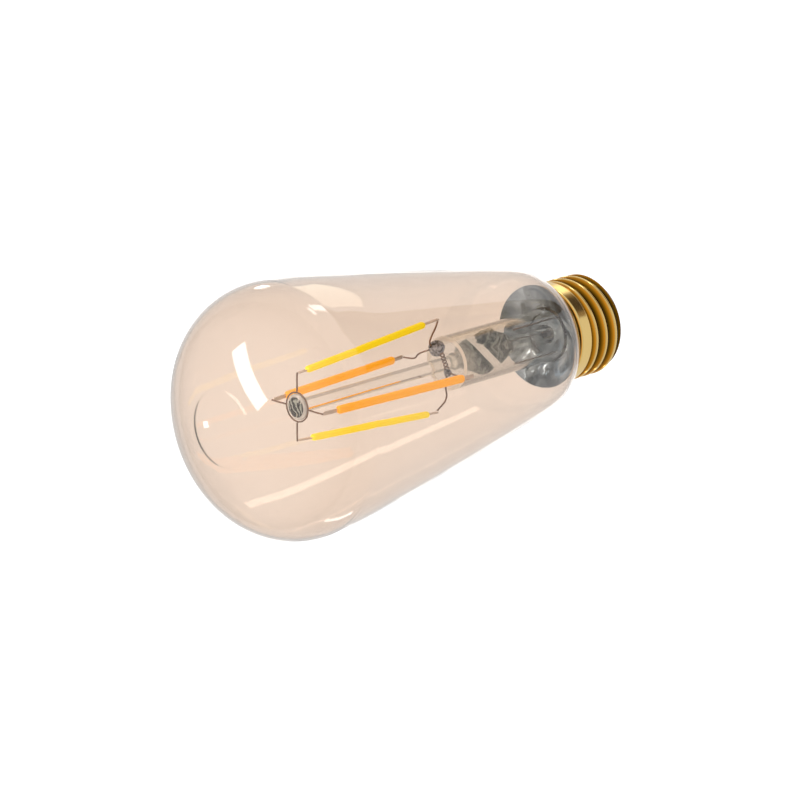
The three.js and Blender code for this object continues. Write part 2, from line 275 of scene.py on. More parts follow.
amber_glass, tree, surface, place = start_material("amber_blown_glass", {
    "Roughness": 0.0, "IOR": 1.51, "Transmission Weight": 1.0})
stain = add_node(tree, "ShaderNodeTexNoise", {"Vector": place, "Scale": 1 / (45 * MM), "Detail": 1.0})
colour = add_node(tree, "ShaderNodeMix", {
    SHARE: stain.outputs["Fac"], LOW: linear("#F0E4DA"), HIGH: linear("#EBDDD1")}, data_type="RGBA")
waves = add_node(tree, "ShaderNodeTexNoise", {"Vector": place, "Scale": 1 / (16 * MM), "Detail": 0.0})
ripple = add_node(tree, "ShaderNodeBump", {
    "Height": waves.outputs["Fac"], "Strength": 0.25, "Distance": 0.12 * MM})
feed(tree, surface, {"Base Color": colour.outputs[MIXED], "Normal": ripple.outputs[0]})
add_lamp_path(amber_glass, tree, surface, linear("#FBF5EF"))

# %% [markdown]
# The stem is drawn lead glass with the fine lengthwise lines that drawing leaves. Its grey only
# shows where light runs a long way in the wall, at the two sides of the tube. A tint on the
# surface would be even, so an absorbing volume does it. The rod takes a copy without the volume
# and with a lower IOR than real glass has, which keeps its edges faint.

# %% Drawn stem glass
stem_glass, tree, surface, place = start_material("drawn_lead_glass", {
    "Base Color": linear("#FAFAF8"), "Roughness": 0.0, "IOR": 1.54, "Transmission Weight": 1.0})
stretched = add_node(tree, "ShaderNodeMapping", {"Vector": place, "Scale": (1.0, 1.0, 0.05)})
lines = add_node(tree, "ShaderNodeTexNoise", {
    "Vector": stretched.outputs[0], "Scale": 1 / (1.5 * MM), "Detail": 2.0})
drawn = add_node(tree, "ShaderNodeBump", {
    "Height": lines.outputs["Fac"], "Strength": 0.3, "Distance": 0.05 * MM})
feed(tree, surface, {"Normal": drawn.outputs[0]})
add_lamp_path(stem_glass, tree, surface, linear("#FCFCFB"))
rod_glass = stem_glass.copy()
rod_glass.name = "drawn_rod_glass"
rod_glass.node_tree.nodes["Principled BSDF"].inputs["IOR"].default_value = 1.3
depth_tint = add_node(tree, "ShaderNodeVolumeAbsorption", {"Color": linear("#A6A7A0"), "Density": 100.0})
tree.links.new(depth_tint.outputs[0], tree.nodes["Material Output"].inputs["Volume"])

# %% [markdown]
# A flame-polished end of a tube looks pale. In a render, a clear end face of a thick wall looks
# black, because light runs away down the wall. So a pale frosted finish is made for a thin ring
# on the end, with no light through it.

# %% Flame-polished lip
fired_lip, tree, surface, place = start_material("fire_polished_lip", {"Roughness": 0.35, "IOR": 1.5})
frost = add_node(tree, "ShaderNodeTexNoise", {"Vector": place, "Scale": 1 / (0.8 * MM), "Detail": 2.0})
shade = add_node(tree, "ShaderNodeMix", {
    SHARE: frost.outputs["Fac"], LOW: linear("#DEDCD8"), HIGH: linear("#FAF9F6")}, data_type="RGBA")
feed(tree, surface, {"Base Color": shade.outputs[MIXED]})

# %% [markdown]
# Where the stem was pressed round the wires it is thick and folded. The dark and pale swirls that
# light bent through the folds shows are painted into its colour: painted shade and painted
# highlights. A distorted noise of 3.4 mm gives the swirls and also the bump. Above 51 mm the glass
# thins out and clears, so the painted swirls fade out with height.

# %% Pressed glass
pressed_glass, tree, surface, place = start_material("pressed_lead_glass", {
    "Roughness": 0.02, "IOR": 1.56, "Transmission Weight": 0.65})
folds = add_node(tree, "ShaderNodeTexNoise", {
    "Vector": place, "Scale": 1 / (3.4 * MM), "Detail": 3.0, "Distortion": 2.4})
bands = add_node(tree, "ShaderNodeMapRange", {
    "Value": folds.outputs["Fac"], "From Min": 0.42, "From Max": 0.6})
# Painted shade and painted highlights: dark and pale swirls in the colour.
shade = add_node(tree, "ShaderNodeMix", {
    SHARE: bands.outputs[0], LOW: linear("#1D2625"), HIGH: linear("#E2EDE8")}, data_type="RGBA")
level = add_node(tree, "ShaderNodeSeparateXYZ", {"Vector": place})
thinning = add_node(tree, "ShaderNodeMapRange", {
    "Value": level.outputs["Z"], "From Min": 51 * MM, "From Max": 54 * MM})
colour = add_node(tree, "ShaderNodeMix", {
    SHARE: thinning.outputs[0], LOW: shade.outputs[MIXED], HIGH: linear("#F6F8F6")}, data_type="RGBA")
swirl = add_node(tree, "ShaderNodeBump", {
    "Height": folds.outputs["Fac"], "Strength": 1.0, "Distance": 1.0 * MM})
feed(tree, surface, {"Base Color": colour.outputs[MIXED], "Normal": swirl.outputs[0]})
add_lamp_path(pressed_glass, tree, surface, linear("#E4E7E4"))

# %% [markdown]
# The button at the end of the rod is a melted drop. It looks dark and streaked in its middle and
# clear at its rim, and the distance from the axis mixes the two. The streaks are a wave texture.
# At scale 1 its bands repeat every 0.314 units across an axis, so that number over the spacing
# gives the scale.

# %% Button glass
bands_per_unit = 0.314
streak_spacing = 1.3 * MM


def axis_distance(tree, place):
    """How far a point is from the bulb's axis."""
    parts = add_node(tree, "ShaderNodeSeparateXYZ", {"Vector": place})
    flat = add_node(tree, "ShaderNodeCombineXYZ", {"X": parts.outputs["X"], "Y": parts.outputs["Y"]})
    length = add_node(tree, "ShaderNodeVectorMath", {0: flat.outputs[0]}, operation="LENGTH")
    return length.outputs["Value"]


button_glass, tree, surface, place = start_material("melted_glass_button", {
    "Roughness": 0.02, "IOR": 1.54, "Transmission Weight": 0.55})
scratches = add_node(tree, "ShaderNodeTexWave", {
    "Vector": place, "Scale": bands_per_unit / streak_spacing,
    "Distortion": 12.0, "Detail": 3.0, "Detail Scale": 1.5},
    wave_type="BANDS", bands_direction="X")
streaks = add_node(tree, "ShaderNodeMapRange", {
    "Value": scratches.outputs["Fac"], "From Min": 0.5, "From Max": 0.9})
shade = add_node(tree, "ShaderNodeMix", {
    SHARE: streaks.outputs[0], LOW: linear("#131614"), HIGH: linear("#C4CEC9")}, data_type="RGBA")
rim = add_node(tree, "ShaderNodeMapRange", {
    "Value": axis_distance(tree, place), "From Min": 2.45 * MM, "From Max": 2.65 * MM})
colour = add_node(tree, "ShaderNodeMix", {
    SHARE: rim.outputs[0], LOW: shade.outputs[MIXED], HIGH: linear("#FFFFFF")}, data_type="RGBA")
feed(tree, surface, {"Base Color": colour.outputs[MIXED]})
add_lamp_path(button_glass, tree, surface, linear("#E4E7E4"))

# %% [markdown]
# The beads are lumps of glass melted on the wires. They look specked and pitted, so the colours
# and the bump share one noise with grains of 0.75 mm.

# %% Bead glass
bead_glass, tree, surface, place = start_material("fused_bead_glass", {
    "Roughness": 0.03, "IOR": 1.54, "Transmission Weight": 0.55})
grain = add_node(tree, "ShaderNodeTexNoise", {"Vector": place, "Scale": 1 / (0.75 * MM), "Detail": 3.0})
specks = add_node(tree, "ShaderNodeMapRange", {
    "Value": grain.outputs["Fac"], "From Min": 0.38, "From Max": 0.62})
shade = add_node(tree, "ShaderNodeMix", {
    SHARE: specks.outputs[0], LOW: linear("#25262D"), HIGH: linear("#D2D5E2")}, data_type="RGBA")
pits = add_node(tree, "ShaderNodeBump", {
    "Height": grain.outputs["Fac"], "Strength": 1.0, "Distance": 0.5 * MM})
feed(tree, surface, {"Base Color": shade.outputs[MIXED], "Normal": pits.outputs[0]})
add_lamp_path(bead_glass, tree, surface, linear("#B0B2B6"))

# %% [markdown]
# ## Phosphor, wire and sheet finishes
# A filament is a row of tiny diodes under a coat of silicone mixed with phosphor powder. The coat
# is soft and slightly waxy, lemon yellow for cool light and orange for warm light. The powder
# makes it faintly grainy, and its colour varies a little along it.

# %% Silicone and phosphor coats
def phosphor_coat(name, thin, thick):
    """A silicone and phosphor coat with a painted glow in its own colour, which brightens it though the
    bulb is off.
    """
    # The emission is a painted glow, because the bulb is off.
    material, tree, surface, place = start_material(name, {
        "Roughness": 0.42, "IOR": 1.43, "Subsurface Weight": 0.15,
        "Subsurface Radius": (1.0, 0.6, 0.2), "Subsurface Scale": 0.4 * MM,
        "Emission Color": linear(thick), "Emission Strength": 0.55})
    diodes = add_node(tree, "ShaderNodeTexNoise", {
        "Vector": place, "Scale": 1 / (2.2 * MM), "Detail": 2.0})
    colour = add_node(tree, "ShaderNodeMix", {
        SHARE: diodes.outputs["Fac"], LOW: linear(thin), HIGH: linear(thick)}, data_type="RGBA")
    powder = add_node(tree, "ShaderNodeTexNoise", {
        "Vector": place, "Scale": 1 / (0.35 * MM), "Detail": 1.0})
    bump = add_node(tree, "ShaderNodeBump", {
        "Height": powder.outputs["Fac"], "Strength": 0.25, "Distance": 0.05 * MM})
    feed(tree, surface, {"Base Color": colour.outputs[MIXED], "Normal": bump.outputs[0]})
    return material


cool_coat = phosphor_coat("cool_phosphor_coat", "#FFEC14", "#FFE300")
warm_coat = phosphor_coat("warm_phosphor_coat", "#FFBC1A", "#FFAE08")

# %% [markdown]
# The wires are nickel-plated iron that the sealing flame has browned. The tabs are bare stamped
# steel. The shield in the neck is thin polished aluminium, blue-grey and glossy, with soft dents
# that bend what it mirrors. Its colour runs from dark to pale in soft zones, which are painted
# shade and painted reflections.

# %% Wires, tabs and shield
stem_wire, tree, surface, place = start_material("flame_browned_wire", {
    "Metallic": 1.0, "Roughness": 0.38})
heat = add_node(tree, "ShaderNodeTexNoise", {"Vector": place, "Scale": 1 / (2.5 * MM), "Detail": 2.0})
colour = add_node(tree, "ShaderNodeMix", {
    SHARE: heat.outputs["Fac"], LOW: linear("#6E5242"), HIGH: linear("#9A806E")}, data_type="RGBA")
feed(tree, surface, {"Base Color": colour.outputs[MIXED]})

tab_steel, tree, surface, place = start_material("stamped_steel_tab", {"Metallic": 1.0})
rolled = add_node(tree, "ShaderNodeTexNoise", {"Vector": place, "Scale": 1 / (0.8 * MM), "Detail": 3.0})
colour = add_node(tree, "ShaderNodeMix", {
    SHARE: rolled.outputs["Fac"], LOW: linear("#E9DACF"), HIGH: linear("#F8EFE8")}, data_type="RGBA")
matt = add_node(tree, "ShaderNodeMapRange", {"Value": rolled.outputs["Fac"], "To Min": 0.5, "To Max": 0.75})
feed(tree, surface, {"Base Color": colour.outputs[MIXED], "Roughness": matt.outputs[0]})

shield_metal, tree, surface, place = start_material("polished_aluminium_shield", {"Metallic": 1.0})
shield_noise = add_node(tree, "ShaderNodeTexNoise", {
    "Vector": place, "Scale": 1 / (8 * MM), "Detail": 1.0, "Distortion": 0.8})
# Painted shade and painted reflections: the colour runs from dark to pale blue-grey in soft zones.
painted_shade_and_reflection_zones = add_node(tree, "ShaderNodeMapRange", {
    "Value": shield_noise.outputs["Fac"], "From Min": 0.35, "From Max": 0.65})
colour = add_node(tree, "ShaderNodeMix", {
    SHARE: painted_shade_and_reflection_zones.outputs[0], LOW: linear("#445460"), HIGH: linear("#BACFE0")}, data_type="RGBA")
gloss = add_node(tree, "ShaderNodeMapRange", {
    "Value": shield_noise.outputs["Fac"], "To Min": 0.02, "To Max": 0.07})
dents = add_node(tree, "ShaderNodeBump", {
    "Height": shield_noise.outputs["Fac"], "Strength": 1.0, "Distance": 3.2 * MM})
feed(tree, surface, {
    "Base Color": colour.outputs[MIXED], "Roughness": gloss.outputs[0], "Normal": dents.outputs[0]})

# %% [markdown]
# ## Cap finishes
# The screw shell is rolled from thin brass sheet and lacquered. Rolling leaves fine lines round
# the shell. The roots of the thread get painted shade, a colour that darkens to brown there. Brass
# is a metal, so its colour is the colour of its reflections. The distance from the axis tells root
# from skirt, and a colour ramp gives the brass colour and the painted shade there.

# %% Rolled brass
brass, tree, surface, place = start_material("rolled_lacquered_brass", {"Metallic": 1.0})
height = add_node(tree, "ShaderNodeMapRange", {
    "Value": axis_distance(tree, place), "From Min": 12.15 * MM, "From Max": 13.25 * MM})
# Painted shade: the colour darkens to brown toward the thread roots and is pale gold on crests and skirt.
brass_and_root_shade = add_node(tree, "ShaderNodeValToRGB", {"Fac": height.outputs[0]})
brass_and_root_shade_stops = [(0.0, "#4A3504"), (0.4, "#8E5E10"), (0.74, "#CF8A22"), (0.92, "#F2D084"), (1.0, "#F8D68C")]
while len(brass_and_root_shade.color_ramp.elements) < len(brass_and_root_shade_stops):
    brass_and_root_shade.color_ramp.elements.new(0.5)
for stop, (share, hex_colour) in zip(brass_and_root_shade.color_ramp.elements, brass_and_root_shade_stops):
    stop.position = share
    stop.color = linear(hex_colour)
rings = add_node(tree, "ShaderNodeMapping", {"Vector": place, "Scale": (0.15, 0.15, 3.0)})
rolling = add_node(tree, "ShaderNodeTexNoise", {
    "Vector": rings.outputs[0], "Scale": 1 / (0.9 * MM), "Detail": 3.0})
satin = add_node(tree, "ShaderNodeMapRange", {
    "Value": rolling.outputs["Fac"], "To Min": 0.1, "To Max": 0.22})
fine = add_node(tree, "ShaderNodeBump", {
    "Height": rolling.outputs["Fac"], "Strength": 0.12, "Distance": 0.03 * MM})
feed(tree, surface, {
    "Base Color": brass_and_root_shade.outputs["Color"], "Roughness": satin.outputs[0], "Normal": fine.outputs[0]})

# %% [markdown]
# The insulator is black glass pressed in a mould, which chills its skin into soft waves. The
# contact is tin-plated, and tin sets in large flat crystals, so cells vary its gloss.

# %% Black glass and tin
black_glass, tree, surface, place = start_material("moulded_black_glass", {
    "Roughness": 0.12, "IOR": 1.52, "Coat Weight": 0.3, "Coat Roughness": 0.05})
mould = add_node(tree, "ShaderNodeTexNoise", {"Vector": place, "Scale": 1 / (3 * MM), "Detail": 2.0})
colour = add_node(tree, "ShaderNodeMix", {
    SHARE: mould.outputs["Fac"], LOW: linear("#0D0D10"), HIGH: linear("#1E1C22")}, data_type="RGBA")
chill = add_node(tree, "ShaderNodeBump", {
    "Height": mould.outputs["Fac"], "Strength": 0.3, "Distance": 0.15 * MM})
feed(tree, surface, {"Base Color": colour.outputs[MIXED], "Normal": chill.outputs[0]})

tin_plate, tree, surface, place = start_material("tinned_contact", {"Metallic": 1.0})
spangle = add_node(tree, "ShaderNodeTexVoronoi", {"Vector": place, "Scale": 1 / (1.2 * MM)})
colour = add_node(tree, "ShaderNodeMix", {
    SHARE: spangle.outputs["Distance"], LOW: linear("#C3C5C6"), HIGH: linear("#8E9193")},
    data_type="RGBA")
dull = add_node(tree, "ShaderNodeMapRange", {
    "Value": spangle.outputs["Distance"], "To Min": 0.22, "To Max": 0.5})
feed(tree, surface, {"Base Color": colour.outputs[MIXED], "Roughness": dull.outputs[0]})

# %% [markdown]
# ## Finishes inside the cap
# These parts are hidden, but someone may cut the bulb open, so each has the finish of the real
# thing. A table holds what differs: two colours, the size of the grain in millimetres, how rough
# it is, and how deep its grain is.

# %% Grained finishes for the hidden parts
grained_finishes = {
    "cap_cement": ("fired_cap_cement", "#A8977A", "#C6B797", 0.6, 0.9, 0.15),
    "chip_package": ("moulded_epoxy", "#131416", "#232528", 0.25, 0.5, 0.02),
    "antenna_ceramic": ("fired_ceramic", "#DAD5C8", "#EFECE4", 0.5, 0.45, 0.02),
    "ferrite": ("pressed_ferrite", "#26282B", "#43464B", 0.3, 0.7, 0.04),
    "red_insulation": ("red_silicone_sleeve", "#932A22", "#AE3A30", 1.0, 0.5, 0.02),
    "blue_insulation": ("blue_silicone_sleeve", "#27467F", "#34589B", 1.0, 0.5, 0.02),
    "sleeve_plastic": ("extruded_nylon_sleeve", "#DEDED6", "#EDEDE8", 2.0, 0.4, 0.02),
}


def grained_finish(name, low, high, grain_size, roughness, grain_depth):
    """A finish of two near colours in grains, with a bump as deep as the grain."""
    material, tree, surface, place = start_material(name, {"Roughness": roughness})
    grain = add_node(tree, "ShaderNodeTexNoise", {
        "Vector": place, "Scale": 1 / (grain_size * MM), "Detail": 3.0})
    colour = add_node(tree, "ShaderNodeMix", {
        SHARE: grain.outputs["Fac"], LOW: linear(low), HIGH: linear(high)}, data_type="RGBA")
    bump = add_node(tree, "ShaderNodeBump", {
        "Height": grain.outputs["Fac"], "Strength": 0.5, "Distance": grain_depth * MM})
    feed(tree, surface, {"Base Color": colour.outputs[MIXED], "Normal": bump.outputs[0]})
    return material


hidden_finishes = {slot: grained_finish(*values) for slot, values in grained_finishes.items()}

# %% [markdown]
# Four finishes are banded. A circuit board shows its tracks as faint bands under white solder
# mask, the capacitor's shrunk sleeve has faint bands, the winding is turns of copper wire side
# by side, and rings go round the resistor.

# %% Board, capacitor, winding and resistor
def striped_finish(name, low, high, axis, spacing, evenly, depth):
    """Two colours in bands across an axis, spacing millimetres apart, with a bump."""
    material, tree, surface, place = start_material(name, evenly)
    bands = add_node(tree, "ShaderNodeTexWave", {
        "Vector": place, "Scale": bands_per_unit / (spacing * MM), "Distortion": 0.6, "Detail": 1.0},
        wave_type="BANDS", bands_direction=axis)
    colour = add_node(tree, "ShaderNodeMix", {
        SHARE: bands.outputs["Fac"], LOW: linear(low), HIGH: linear(high)}, data_type="RGBA")
    bump = add_node(tree, "ShaderNodeBump", {
        "Height": bands.outputs["Fac"], "Strength": 0.6, "Distance": depth * MM})
    feed(tree, surface, {"Base Color": colour.outputs[MIXED], "Normal": bump.outputs[0]})
    return material


hidden_finishes["circuit_board"] = striped_finish(
    "solder_masked_board", "#C9CBC6", "#E6E7E2", "DIAGONAL", 1.6, {"Roughness": 0.35}, 0.03)
hidden_finishes["capacitor_can"] = striped_finish(
    "sleeved_capacitor", "#1F2933", "#2E3C49", "X", 4.0, {"Roughness": 0.35, "Coat Weight": 0.2}, 0.01)
hidden_finishes["copper_wire"] = striped_finish(
    "enamelled_copper_winding", "#7E3F1C", "#C77A48", "Z", 0.35, {"Metallic": 1.0, "Roughness": 0.3}, 0.1)
hidden_finishes["resistor_coat"] = striped_finish(
    "banded_resistor_coat", "#5F8097", "#86A5B9", "Z", 1.0, {"Roughness": 0.45}, 0.02)

# %% [markdown]
# ## The glass envelope
# The flank is one smooth line from the narrow neck to the widest ring, and the dome is two arcs:
# a tight shoulder and a flatter crown. Blowing leaves the glass thinner in a small disc at the
# pole, which shows as a faint ring. The outline runs up the outside and back down the inside, so
# one spin makes a closed wall of real thickness.

# %% Outline of the envelope
widest_height = 116.4
widest_radius = 32
shoulder_radius = 18.1
crown_radius = 43.2
neck_radius = 12.3
wall = 0.7
flank_stations = [
    (neck_radius, 22.9), (13.5, 24), (15.4, 26), (17.05, 28), (18.4, 30.6), (19.45, 34),
    (21.35, 44), (23.75, 58), (26.35, 74), (29.1, 92), (31.1, 106), (widest_radius, widest_height),
]
shoulder_centre = (widest_radius - shoulder_radius, widest_height)
centre_rise = math.sqrt((crown_radius - shoulder_radius) ** 2 - shoulder_centre[0] ** 2)
crown_start = math.atan2(centre_rise, shoulder_centre[0])
outside = [Vector((neck_radius, 18.9)), Vector((neck_radius, 20.9))]
outside += smooth_line(flank_stations, 5)
outside += arc(shoulder_centre, shoulder_radius, 0, crown_start, 20)[1:]
outside += arc((0, widest_height - centre_rise), crown_radius, crown_start, math.pi / 2, 60)[1:]
outside[-1].x = 0
print("outline points:", len(outside), "highest:", round(outside[-1].y, 2), "mm")

# %% [markdown]
# The inside follows the outside at the wall's thickness, square to the line at each point.

# %% Wall and envelope
disc_edge, edge_width, disc_depth = 9.9, 0.7, 0.09


def wall_at(spot):
    """The wall is thinner in a disc round the pole, with a soft step at its edge."""
    if spot.y < widest_height:
        return wall
    step = min(max((disc_edge - spot.x) / edge_width, 0), 1)
    return wall - disc_depth * step * step * (3 - 2 * step)


inside = []
for i, spot in enumerate(outside):
    before = outside[max(i - 1, 0)]
    after = outside[min(i + 1, len(outside) - 1)]
    along = (after - before).normalized()
    thick = wall_at(spot)
    inside.append(Vector((max(spot.x - along.y * thick, 0), spot.y + along.x * thick)))
inside[-1].x = 0
finish_piece("amber_envelope", spin_outline(inside[::-1] + outside, 128),
             amber_glass, ["glass_envelope"], crease=60)

# %% [markdown]
# ## The stem
# The stem is a wide glass tube, flared at its foot where it is melted to the neck. Its outline
# runs up the outside and down the inside, and one spin makes the wall. The lip is a ring of its
# own, 0.05 mm thick, because it takes another finish than the tube that it lies on.

# %% Stem tube and its lip
stem_radius, stem_bore, stem_top = 6.9, 5.8, 59.55
stem_outside = smooth_line([(11.45, 19), (9.4, 19.7), (7.9, 20.5), (7.05, 21.3), (stem_radius, 22.8)], 4)
stem_outside += straight_line((stem_radius, 23.2), (stem_radius, stem_top), 36)
stem_inside = smooth_line([(11.0, 18.5), (9.0, 18.7), (7.1, 19.6), (6.05, 20.8), (stem_bore, 22.8)], 4)
stem_inside += straight_line((stem_bore, 23.2), (stem_bore, stem_top), 36)
finish_piece("stem_tube", spin_outline(stem_outside + stem_inside[::-1], 96, closed=True),
             stem_glass, ["stem_flare"])

lip_outline = [(stem_bore, 59.53), (stem_radius, 59.53), (6.86, 59.58), (5.84, 59.58)]
finish_piece("stem_lip", spin_outline(lip_outline, 96, closed=True),
             fired_lip, ["stem_flare"])

# %% [markdown]
# The free end of the stem's glass was softened, pinched on the wires and given a twist. The pinch
# is a round bar spun in many rows. A formula then squeezes each row across, widens it along, and
# turns it a little further than the row below.

# %% Pinched and twisted press
press_bottom, press_top = 38.0, 57.3
press_end, press_width, press_depth = 2.2, 5.6, 1.7
press_rows = 36
press_twist = math.radians(60)
press_closed = 0.86
press_outline = [(0, press_bottom)]
press_outline += [(press_width, press_bottom + (press_top - press_bottom) * row / press_rows)
                  for row in range(press_rows + 1)]
press_outline.append((0, press_top))
pinch = spin_outline(press_outline, 64)
for corner in pinch.verts:
    rise = (corner.co.z / MM - press_bottom) / (press_top - press_bottom)
    spread = math.sqrt(max(math.sin(math.pi * min(rise / press_closed, 1)), 0))
    around = math.atan2(corner.co.y, corner.co.x)
    folds = 1 - 0.12 * spread * (1 + math.cos(3 * around + 14 * rise)) / 2
    corner.co.x *= folds * (press_end + (press_depth - press_end) * spread) / press_width
    corner.co.y *= folds * (press_end + (press_width - press_end) * spread) / press_width
    corner.co = Matrix.Rotation(press_twist * (rise - 0.5), 3, "Z") @ corner.co
print("pinched bar:", len(pinch.faces), "faces")

# %% [markdown]
# A slanted slot parts the press into two blades. A boolean could cut it, but two copies of the
# bar, each cut by one plane and capped, give cleaner faces. The knot of melted glass beside the
# blades is a sphere, stretched and pushed in and out by a formula.

# %% Slot and knot
slot_centre = Vector((0, 0, 46)) * MM
slot_across = Vector((-0.611, -0.478, 0.632))
slot_half = 0.95 * MM


def add_shape(whole, part):
    """Adds a bmesh to another one and frees it."""
    mesh = bpy.data.meshes.new("part")
    part.to_mesh(mesh)
    part.free()
    whole.from_mesh(mesh)
    bpy.data.meshes.remove(mesh)


folded = bmesh.new()
for side in (1, -1):
    blade = pinch.copy()
    cut = bmesh.ops.bisect_plane(
        blade, geom=blade.verts[:] + blade.edges[:] + blade.faces[:],
        plane_co=slot_centre + slot_across * slot_half * side,
        plane_no=slot_across * side, clear_inner=True)
    rim = [item for item in cut["geom_cut"] if isinstance(item, bmesh.types.BMEdge)]
    bmesh.ops.contextual_create(blade, geom=rim)
    add_shape(folded, blade)
pinch.free()

knot_centre = (1.4, 3.6, 45.4)
knot_half = Vector((2.0, 1.7, 3.0))
knot = bmesh.ops.create_icosphere(folded, subdivisions=4, radius=1.0 * MM)["verts"]
for corner in knot:
    out = corner.co.normalized()
    lump = 0.16 * math.sin(9 * out.x + 5 * out.z)
    lump += 0.12 * math.sin(11 * out.y - 7 * out.z + 4 * out.x)
    corner.co = corner.co * knot_half * (0.95 + lump)
bmesh.ops.translate(folded, verts=knot, vec=Vector(knot_centre) * MM)
finish_piece("stem_pinch", folded, pressed_glass, ["stem_press"])

# %% [markdown]
# Air was pumped out through a thin tube that was then melted shut in the cap. A slim rod carries
# on from the press to the hub, where its end was melted to a button. All three are turned shapes.

# %% Pump tube, rod and button
pump_radius, pump_bore, pump_top = 2.2, 1.5, 37.7
pump_outline = [(0, 10.4)]
pump_outline += smooth_line([(0.6, 10.5), (1.3, 11.2), (2.0, 12.6), (pump_radius, 14)], 3)
pump_outline += straight_line((pump_radius, 14.5), (pump_radius, pump_top), 12)
pump_outline += [(pump_bore, pump_top), (pump_bore, 14.2), (1.2, 13.3), (0, 12.4)]
finish_piece("pump_tube", spin_outline(pump_outline, 48), rod_glass, ["exhaust_tube"])

rod_radius, rod_top = 1.75, 110.6
rod_outline = [(0, press_top)] + straight_line((rod_radius, press_top), (rod_radius, rod_top), 20)
rod_outline.append((0, rod_top))
finish_piece("centre_rod", spin_outline(rod_outline, 48), rod_glass, ["support_rod"])

button_outline = [(0, rod_top)] + smooth_line([
    (rod_radius, rod_top), (2.4, 111.0), (3.0, 111.7), (3.3, 112.1), (3.0, 112.45), (1.8, 112.9),
    (0.6, 113.05)], 4)
button_outline.append((0, 113.07))
finish_piece("melted_button", spin_outline(button_outline, 64),
             button_glass, ["hub_button"])

# %% [markdown]
# ## The hub and the filaments
# A wire ring grips the melted button, and four short wires reach out from it, a quarter turn
# apart. Each is made along X and turned round the axis to its place.

# %% Hub ring and hub wires
hub_height = 112.2
wire_radius = 0.22
ring_outline = arc((3.65, hub_height), 0.2, 0, 2 * math.pi, 12)[:-1]
finish_piece("hub_loop", spin_outline(ring_outline, 64, closed=True),
             stem_wire, ["hub_ring"])



def turn_shape(shape, angle, axis):
    """Turns a bmesh about an axis through the origin."""
    bmesh.ops.rotate(shape, verts=shape.verts, cent=(0, 0, 0), matrix=Matrix.Rotation(angle, 3, axis))


filament_turns = [math.radians(-23 + 90 * i) for i in range(4)]
for number, turn in enumerate(filament_turns, 1):
    spoke = wire_shape([(3.95, 0, hub_height), (6.3, 0, hub_height + 0.06), (8.65, 0, hub_height)],
                       wire_radius)
    turn_shape(spoke, turn, "Z")
    finish_piece(f"hub_spoke_{number}", spoke, stem_wire, [f"hub_wire_{number}"])

# %% [markdown]
# A filament hangs on each wire, on a straight line that leans out toward the cap. It starts as a
# cube that is scaled and bevelled on all its edges, because a coat of silicone has no sharp edge.
# Its girth changes a little at random along it. Its bare metal tabs are the same shape, thinner
# and even. The second filament sits a little nearer the hub than the others.

# %% Shape of a filament or tab
random.seed(7)
lean = 0.0756
lean_angle = math.atan(lean)


def out_from_axis(height):
    """How far a filament's line is from the bulb's axis at a height."""
    return 8.45 + (hub_height - height) * lean


def strip_shape(thickness, width, bottom, top, bevel, rounds, turn, unevenness=0.0):
    """A bevelled strip on a filament's line, between two heights of the bulb."""
    length = (top - bottom) / math.cos(lean_angle)
    shape = bmesh.new()
    bmesh.ops.create_cube(shape, size=1)
    bmesh.ops.scale(shape, vec=Vector((thickness, width, length)) * MM, verts=shape.verts)
    bmesh.ops.bevel(shape, geom=shape.edges[:], offset=bevel * MM, affect="EDGES", segments=rounds,
                    profile=0.5, material=-1, clamp_overlap=True)
    if unevenness:
        cuts = 40
        for cut in range(1, cuts):
            level_z = (cut / cuts - 0.5) * (length - 2 * bevel) * MM
            bmesh.ops.bisect_plane(shape, geom=shape.verts[:] + shape.edges[:] + shape.faces[:],
                                   plane_co=(0, 0, level_z), plane_no=(0, 0, 1))
        swell = [1 + random.uniform(-unevenness, unevenness) for _ in range(cuts + 1)]
        for corner in shape.verts:
            place_along = (corner.co.z / MM / length + 0.5) * cuts
            low = min(int(place_along), cuts - 1)
            share = place_along - low
            girth = swell[low] * (1 - share) + swell[low + 1] * share
            corner.co.x *= girth
            corner.co.y *= girth
    bmesh.ops.translate(shape, verts=shape.verts, vec=(0, 0, length / 2 * MM))
    turn_shape(shape, -lean_angle, "Y")
    bmesh.ops.translate(shape, verts=shape.verts, vec=Vector((out_from_axis(bottom), 0, bottom)) * MM)
    turn_shape(shape, turn, "Z")
    return shape


print("a filament leans by", round(math.degrees(lean_angle), 2), "degrees")

# %% The four filaments
strip_rises = [0, 1.7, 0, 0]
strip_bottom, strip_top = 66.3, 107.3
coat_thickness, coat_width = 1.65, 1.85
tab_bottom, tab_top = 62.95, 111.75
tab_thickness, tab_width = 0.3, 1.0
tab_gap = 0.1
for number, (turn, rise) in enumerate(zip(filament_turns, strip_rises), 1):
    warm = number % 2 == 1
    coat, slot = (warm_coat, "warm_phosphor") if warm else (cool_coat, "cool_phosphor")
    fuller = 0.15 if warm else 0.0
    bottom, top = strip_bottom + rise, strip_top + rise
    strip = strip_shape(coat_thickness + fuller, coat_width + fuller, bottom, top, 0.75, 5, turn, 0.03)
    finish_piece(f"light_strip_{number}", strip, coat, [f"filament_{number}"])
    for side, end, low, high in (("upper", "hub", top + tab_gap, tab_top),
                                 ("lower", "base", tab_bottom, bottom - tab_gap)):
        tab = strip_shape(tab_thickness, tab_width, low, high, 0.08, 2, turn)
        finish_piece(f"{side}_tab_{number}", tab,
                     tab_steel, [f"filament_tab_{end}_{number}"])

# %% [markdown]
# ## Beads and wires at the press
# Two beads of glass hold the wires where they leave the press: a large one above and a small one
# below. Each filament's lower tab is joined to a bead by a bent wire, and a twisted jumper joins
# the beads. A melted bead is never quite round, so a sphere is pushed in and out by a formula.

